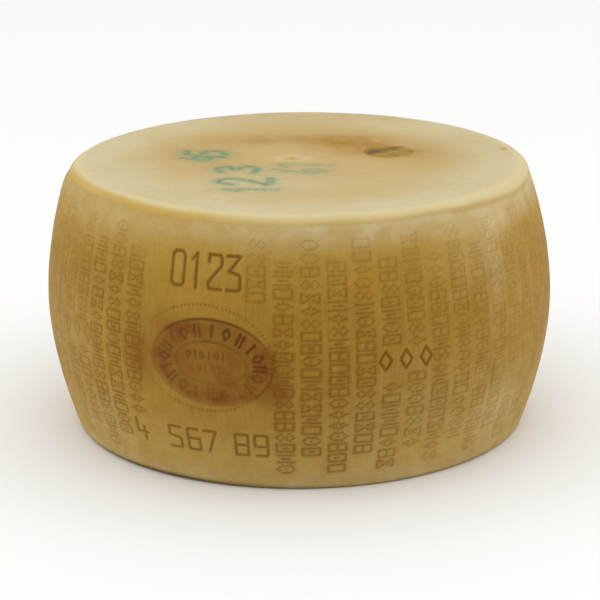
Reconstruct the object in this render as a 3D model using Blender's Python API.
"""A whole wheel of hard grating cheese, lying flat on its base.

The wheel is one solid: a bulging side between two flat faces, with rounded edges and a top that
was pressed a little unevenly. Its side is stamped with plain counting digits, an oval of two
rings and groups of three lozenges. A thin round plate of casein lies in a shallow pocket in the
top.

Metres, +Z up. The origin is the middle of the base, on the surface that the wheel stands on.
Places on the side are given as an angle from the front (-Y) towards +X and a height.
"""

import math

import bmesh
import bpy
from mathutils import Matrix, Vector

# Driving dimensions of the wheel
HEIGHT = 0.230
BULGE_RADIUS = 0.2195
BULGE_HEIGHT = 0.112
TOP_DROP = 0.0229
BASE_DROP = 0.0237
TOP_CURVE_POWER = 1.88
BASE_CURVE_POWER = 1.79
TOP_EDGE_ROUND = 0.0082
BASE_EDGE_ROUND = 0.0046
DISH_DEPTH = 0.0022
DISH_SLOPE_WIDTH = 0.045
LEAN = -0.0010

# Unevenness: number of waves round the wheel, their size, and the angle of the first crest times the waves
RIM_WAVES = ((1, 0.0026, math.radians(-36)), (2, 0.0004, math.radians(-118)), (3, 0.0003, math.radians(169)))
SIDE_WAVES = ((2, 0.0005, math.radians(40)), (4, 0.0004, math.radians(-70)), (8, 0.0002, math.radians(15)))

# The top edge has slumped: how deep on average, how much more at one side, that side, and how far it reaches
SLUMP_DEPTH = 0.0021
SLUMP_EXTRA = 0.0022
SLUMP_ANGLE = math.radians(-103)
SLUMP_REACH = 0.024

# Fineness of the turned mesh
SEGMENTS = 96
SIDE_ROWS = 17
TOP_EDGE_ROWS = 5
BASE_EDGE_ROWS = 3
BASE_RING_RADII = (0.045, 0.090, 0.140)
TOP_RING_INSETS = (0.006, 0.014, 0.024, 0.036, 0.054, 0.080, 0.108, 0.134, 0.158, 0.174)

# Casein plate and its pocket
PLATE_RADIUS = 0.0217
PLATE_THICKNESS = 0.0020
PLATE_SUNK = 0.0007
PLATE_PLACE = (0.080, 0.031)
PLATE_SEGMENTS = 48
PLATE_EDGE_BEVEL = 0.0004
FIT_GAP = 0.0003

# Stamps on the side
STAMP_DEPTH = 0.0012
CUTTER_PROUD = 0.0040
NUMBER_ANGLES = tuple(math.radians(degrees) for degrees in (-27.2, -22.8, -18.4, -14.2))
NUMBER_HEIGHT = 0.185
NUMBER_SIZE = (0.0105, 0.0260)
NUMBER_STROKE = 0.0026
DATE_ANGLES = tuple(math.radians(degrees) for degrees in (-38.4, -29.2, -24.5, -20.4, -13.1, -8.7))
DATE_HEIGHT = 0.0418
DATE_SIZE = (0.0100, 0.0175)
DATE_STROKE = 0.0023
LOZENGE_GROUPS = tuple(math.radians(degrees) for degrees in (23.0, 113.0, 203.0, -58.0))
LOZENGE_STEP = math.radians(4.7)
LOZENGE_HEIGHT = 0.1135
LOZENGE_SIZE = (0.0100, 0.0160)
LOZENGE_STROKE = 0.0018
OVAL_ANGLE = math.radians(-18.9)
OVAL_HEIGHT = 0.1110
OVAL_TILT = math.radians(-3.0)
OVAL_RINGS = ((0.0530, 0.0375), (0.0315, 0.0185))
OVAL_STROKE = 0.0022
OVAL_SEGMENTS = 72

# The lines of each stamped figure, as corners in a box one wide and one high with its middle at zero
DIGIT_LINES = {
    "0": (((-0.5, -0.5), (-0.5, 0.5), (0.5, 0.5), (0.5, -0.5), (-0.5, -0.5)),),
    "1": (((-0.35, 0.32), (0.0, 0.5), (0.0, -0.5)),),
    "2": (((-0.5, 0.3), (-0.5, 0.5), (0.5, 0.5), (0.5, 0.2), (-0.5, -0.3), (-0.5, -0.5), (0.5, -0.5)),),
    "3": (((-0.5, 0.5), (0.5, 0.5), (-0.35, 0.05), (0.5, -0.05), (0.5, -0.5), (-0.5, -0.5)),),
    "4": (((-0.5, 0.5), (-0.5, -0.12), (0.5, -0.12)), ((0.2, 0.15), (0.2, -0.5))),
    "5": (((0.5, 0.5), (-0.5, 0.5), (-0.5, 0.08), (0.5, -0.08), (0.5, -0.5), (-0.5, -0.5)),),
    "6": (((0.4, 0.5), (-0.5, 0.5), (-0.5, -0.5), (0.5, -0.5), (0.5, 0.05), (-0.5, 0.05)),),
    "7": (((-0.5, 0.5), (0.5, 0.5), (-0.2, -0.5)),),
    "8": (((-0.5, -0.5), (-0.5, 0.5), (0.5, 0.5), (0.5, -0.5), (-0.5, -0.5)), ((-0.5, 0.0), (0.5, 0.0))),
    "9": (((-0.4, -0.5), (0.5, -0.5), (0.5, 0.5), (-0.5, 0.5), (-0.5, -0.05), (0.5, -0.05)),),
}
LOZENGE_LINES = (((-0.5, 0.0), (0.0, 0.5), (0.5, 0.0), (0.0, -0.5), (-0.5, 0.0)),)

# Colours, as linear values
RIND_COLOUR = (0.30, 0.17, 0.045, 1.0)
PLATE_COLOUR = (0.36, 0.24, 0.075, 1.0)


def clear_scene():
    """Removes every object of the open file."""
    for item in list(bpy.data.objects):
        bpy.data.objects.remove(item, do_unlink=True)


def make_material(name, colour, roughness):
    """Makes a plain material of one colour and roughness."""
    material = bpy.data.materials.new(name)
    material.use_nodes = True
    shader = material.node_tree.nodes["Principled BSDF"]
    shader.inputs["Base Color"].default_value = colour
    shader.inputs["Roughness"].default_value = roughness
    shader.inputs["Metallic"].default_value = 0.0
    return material


def add_object(name, mesh_builder, material=None):
    """Turns a bmesh into a named object and links it to the scene."""
    mesh = bpy.data.meshes.new(name)
    bmesh.ops.recalc_face_normals(mesh_builder, faces=mesh_builder.faces)
    mesh_builder.to_mesh(mesh)
    mesh_builder.free()
    item = bpy.data.objects.new(name, mesh)
    bpy.context.collection.objects.link(item)
    if material:
        mesh.materials.append(material)
    return item


def side_radius(height):
    """Radius of the bulging side at a height, before the edges are rounded."""
    if height < BULGE_HEIGHT:
        share = (BULGE_HEIGHT - height) / BULGE_HEIGHT
        return BULGE_RADIUS - BASE_DROP * share ** BASE_CURVE_POWER
    share = (height - BULGE_HEIGHT) / (HEIGHT - BULGE_HEIGHT)
    return BULGE_RADIUS - TOP_DROP * share ** TOP_CURVE_POWER


def crest_radius():
    """Radius of the line where the rounded top edge meets the top face."""
    return side_radius(HEIGHT) - TOP_EDGE_ROUND


def dish(radius):
    """How far the top face lies below its rim at a radius."""
    share = min((crest_radius() - radius) / DISH_SLOPE_WIDTH, 1.0)
    return DISH_DEPTH * share * share * (3 - 2 * share)


def rim_rise(angle, radius, height):
    """Height that the uneven pressing adds: a tilt and two slower waves, fading down the side."""
    reach = min(radius / crest_radius(), 1.0)
    share = (height / HEIGHT) ** 2
    return share * sum(size * reach ** waves * math.cos(waves * angle - phase) for waves, size, phase in RIM_WAVES)


def side_swell(angle, height):
    """Radius that the uneven bulge adds at a place on the side."""
    share = max(math.sin(math.pi * height / HEIGHT), 0.0)
    return share * sum(size * math.cos(waves * angle - phase) for waves, size, phase in SIDE_WAVES)


def edge_slump(angle, radius, height):
    """How far a place near the top edge has slumped, both inwards and down."""
    from_corner = math.hypot(radius - side_radius(HEIGHT), height - HEIGHT)
    share = max(1 - from_corner / SLUMP_REACH, 0.0)
    depth = max(SLUMP_DEPTH + SLUMP_EXTRA * math.cos(angle - SLUMP_ANGLE), 0.0)
    return depth * share * share * (3 - 2 * share) / math.sqrt(2)


def placed(angle, radius, height):
    """Turns an angle, radius and height of the even wheel into a point of the uneven one."""
    slump = edge_slump(angle, radius, height)
    swollen = radius - slump + side_swell(angle, height) * (radius / BULGE_RADIUS) ** 2
    shift = LEAN * (height - BULGE_HEIGHT) / HEIGHT
    x = swollen * math.sin(angle) + shift
    y = -swollen * math.cos(angle)
    return Vector((x, y, height - slump + rim_rise(angle, radius, height)))


def rounded_edge(outer, inner, rows):
    """Lists the points of a quarter curve from a point on the side to a point on a face, both left out."""
    points = []
    for row in range(1, rows):
        turn = math.radians(90) * row / rows
        radius = inner[0] + (outer[0] - inner[0]) * math.cos(turn)
        height = outer[1] + (inner[1] - outer[1]) * math.sin(turn)
        points.append((radius, height))
    return points


def wheel_outline():
    """Lists the turned outline as radius and height, from the middle of the base to the middle of the top."""
    base_inner = (side_radius(0.0) - BASE_EDGE_ROUND, 0.0)
    base_outer = (side_radius(BASE_EDGE_ROUND), BASE_EDGE_ROUND)
    top_outer = (side_radius(HEIGHT - TOP_EDGE_ROUND), HEIGHT - TOP_EDGE_ROUND)
    top_inner = (crest_radius(), HEIGHT)
    outline = [(0.0, 0.0)] + [(radius, 0.0) for radius in BASE_RING_RADII] + [base_inner]
    outline += rounded_edge(base_outer, base_inner, BASE_EDGE_ROWS)[::-1]
    for row in range(SIDE_ROWS + 1):
        height = base_outer[1] + (top_outer[1] - base_outer[1]) * row / SIDE_ROWS
        outline.append((side_radius(height), height))
    outline += rounded_edge(top_outer, top_inner, TOP_EDGE_ROWS) + [top_inner]
    for inset in TOP_RING_INSETS:
        radius = crest_radius() - inset
        outline.append((radius, HEIGHT - dish(radius)))
    outline.append((0.0, HEIGHT - dish(0.0)))
    return outline


def build_wheel(material):
    """Turns the outline into the wheel, then presses it into its uneven shape."""
    builder = bmesh.new()
    vertices = [builder.verts.new((radius, 0.0, height)) for radius, height in wheel_outline()]
    edges = [builder.edges.new(pair) for pair in zip(vertices, vertices[1:])]
    bmesh.ops.spin(builder, geom=vertices + edges, cent=(0, 0, 0), axis=(0, 0, 1), angle=math.tau, steps=SEGMENTS,
                   use_merge=True)
    bmesh.ops.remove_doubles(builder, verts=builder.verts, dist=0.00005)
    for vertex in builder.verts:
        angle = math.atan2(vertex.co.x, -vertex.co.y)
        radius = math.hypot(vertex.co.x, vertex.co.y)
        vertex.co = placed(angle, radius, vertex.co.z)
    bmesh.ops.triangulate(builder, faces=builder.faces)
    return add_object("cheese_wheel", builder, material)


def top_point(x, y):
    """Point of the top face above or below a place in plan."""
    radius = math.hypot(x, y)
    angle = math.atan2(x, -y)
    height = HEIGHT - dish(radius)
    return Vector((x, y, height + rim_rise(angle, radius, height)))


def plate_frame():
    """Matrix that stands on the top face where the plate lies, +Z outwards."""
    x, y = PLATE_PLACE
    middle = top_point(x, y)
    along = top_point(x + PLATE_RADIUS, y) - top_point(x - PLATE_RADIUS, y)
    across = top_point(x, y + PLATE_RADIUS) - top_point(x, y - PLATE_RADIUS)
    outwards = along.cross(across).normalized()
    return Matrix.Translation(middle) @ outwards.to_track_quat("Z", "Y").to_matrix().to_4x4()


def disc(radius, low, high):
    """Makes a bmesh disc between two heights of the plate's frame."""
    builder = bmesh.new()
    middle = Matrix.Translation((0, 0, (low + high) / 2))
    bmesh.ops.create_cone(builder, cap_ends=True, cap_tris=False, segments=PLATE_SEGMENTS, radius1=radius,
                          radius2=radius, depth=high - low, matrix=plate_frame() @ middle)
    return builder


def build_plate(material):
    """Makes the casein plate, a thin disc with its upper edge eased."""
    plate = add_object("casein_plate", disc(PLATE_RADIUS, -PLATE_SUNK - PLATE_THICKNESS, -PLATE_SUNK), material)
    bevel = plate.modifiers.new("eased edge", "BEVEL")
    bevel.width = PLATE_EDGE_BEVEL
    bevel.segments = 2
    bevel.limit_method = "ANGLE"
    plate.data.shade_smooth()
    plate.data.set_sharp_from_angle(angle=math.radians(35))
    return plate


def side_frame(angle, height):
    """Matrix that stands on the side, +X along the girth to the right, +Y up the side and +Z outwards."""
    step = 0.002
    middle = placed(angle, side_radius(height), height)
    above = placed(angle, side_radius(height + step), height + step)
    beside = placed(angle + step / BULGE_RADIUS, side_radius(height), height)
    up = (above - middle).normalized()
    outwards = (beside - middle).cross(up).normalized()
    right = up.cross(outwards)
    frame = Matrix((right, up, outwards)).transposed().to_4x4()
    frame.translation = middle
    return frame


def add_cutter(name, builder, cutters):
    """Turns a bmesh into an object of the collection that is cut from the wheel."""
    cutter = add_object(name, builder)
    bpy.context.collection.objects.unlink(cutter)
    cutters.objects.link(cutter)
    cutter.hide_render = True
    cutter.display_type = "WIRE"


def stroke_cutter(name, frame, stroke, start, end, cutters):
    """Adds a straight bar that cuts one stroke of a stamped figure."""
    along = end - start
    turn = Matrix.Rotation(math.atan2(along.y, along.x), 4, "Z")
    depth = STAMP_DEPTH + CUTTER_PROUD
    scale = Matrix.Diagonal((along.length + stroke, stroke, depth, 1))
    middle = (start + end) / 2 + Vector((0, 0, CUTTER_PROUD - depth / 2))
    builder = bmesh.new()
    bmesh.ops.create_cube(builder, size=1.0, matrix=frame @ Matrix.Translation(middle) @ turn @ scale)
    add_cutter(name, builder, cutters)


def stamp_figure(name, angle, height, size, stroke, lines, cutters):
    """Adds the bars that cut one stamped figure."""
    frame = side_frame(angle, height)
    for line_number, line in enumerate(lines):
        corners = [Vector((x * size[0], y * size[1], 0)) for x, y in line]
        for number, (start, end) in enumerate(zip(corners, corners[1:])):
            stroke_cutter(f"{name}_{line_number}_{number}", frame, stroke, start, end, cutters)


def oval_point(turn, half_width, half_height, out):
    """Point on a tilted oval drawn round the side, pushed outwards by a distance."""
    x = half_width * math.cos(turn)
    y = half_height * math.sin(turn)
    along = x * math.cos(OVAL_TILT) - y * math.sin(OVAL_TILT)
    up = x * math.sin(OVAL_TILT) + y * math.cos(OVAL_TILT)
    frame = side_frame(OVAL_ANGLE + along / BULGE_RADIUS, OVAL_HEIGHT + up)
    return frame @ Vector((0, 0, out))


def stamp_oval(name, half_width, half_height, cutters):
    """Adds the ring that cuts one oval line."""
    builder = bmesh.new()
    corners = ((-0.5, -STAMP_DEPTH), (0.5, -STAMP_DEPTH), (0.5, CUTTER_PROUD), (-0.5, CUTTER_PROUD))
    loops = []
    for segment in range(OVAL_SEGMENTS):
        turn = math.tau * segment / OVAL_SEGMENTS
        points = [oval_point(turn, half_width + side * OVAL_STROKE, half_height + side * OVAL_STROKE, out)
                  for side, out in corners]
        loops.append([builder.verts.new(point) for point in points])
    for segment, loop in enumerate(loops):
        following = loops[(segment + 1) % OVAL_SEGMENTS]
        for corner in range(len(corners)):
            past = (corner + 1) % len(corners)
            builder.faces.new((loop[corner], loop[past], following[past], following[corner]))
    add_cutter(name, builder, cutters)


def stamp_side(cutters):
    """Adds the cutters of every stamp on the side."""
    for digit, angle in zip("0123", NUMBER_ANGLES):
        stamp_figure(f"number_{digit}", angle, NUMBER_HEIGHT, NUMBER_SIZE, NUMBER_STROKE, DIGIT_LINES[digit], cutters)
    for digit, angle in zip("456789", DATE_ANGLES):
        stamp_figure(f"count_{digit}", angle, DATE_HEIGHT, DATE_SIZE, DATE_STROKE, DIGIT_LINES[digit], cutters)
    for group, middle in enumerate(LOZENGE_GROUPS):
        for place in (-1, 0, 1):
            stamp_figure(f"lozenge_{group}_{place + 1}", middle + place * LOZENGE_STEP, LOZENGE_HEIGHT, LOZENGE_SIZE,
                         LOZENGE_STROKE, LOZENGE_LINES, cutters)
    for number, (half_width, half_height) in enumerate(OVAL_RINGS):
        stamp_oval(f"oval_ring_{number}", half_width, half_height, cutters)


def main():
    """Builds the wheel, cuts its stamps and its pocket, and lays the plate in it."""
    clear_scene()
    wheel = build_wheel(make_material("waxy rind", RIND_COLOUR, 0.55))
    build_plate(make_material("pressed casein", PLATE_COLOUR, 0.45))

    cutters = bpy.data.collections.new("cutters")
    bpy.context.scene.collection.children.link(cutters)
    stamp_side(cutters)
    pocket_floor = -PLATE_SUNK - PLATE_THICKNESS - FIT_GAP
    add_cutter("plate_pocket", disc(PLATE_RADIUS + FIT_GAP, pocket_floor, CUTTER_PROUD), cutters)

    cut = wheel.modifiers.new("stamps and pocket", "BOOLEAN")
    cut.operation = "DIFFERENCE"
    cut.operand_type = "COLLECTION"
    cut.collection = cutters
    wheel.data.shade_smooth()
    wheel.data.set_sharp_from_angle(angle=math.radians(40))


main()
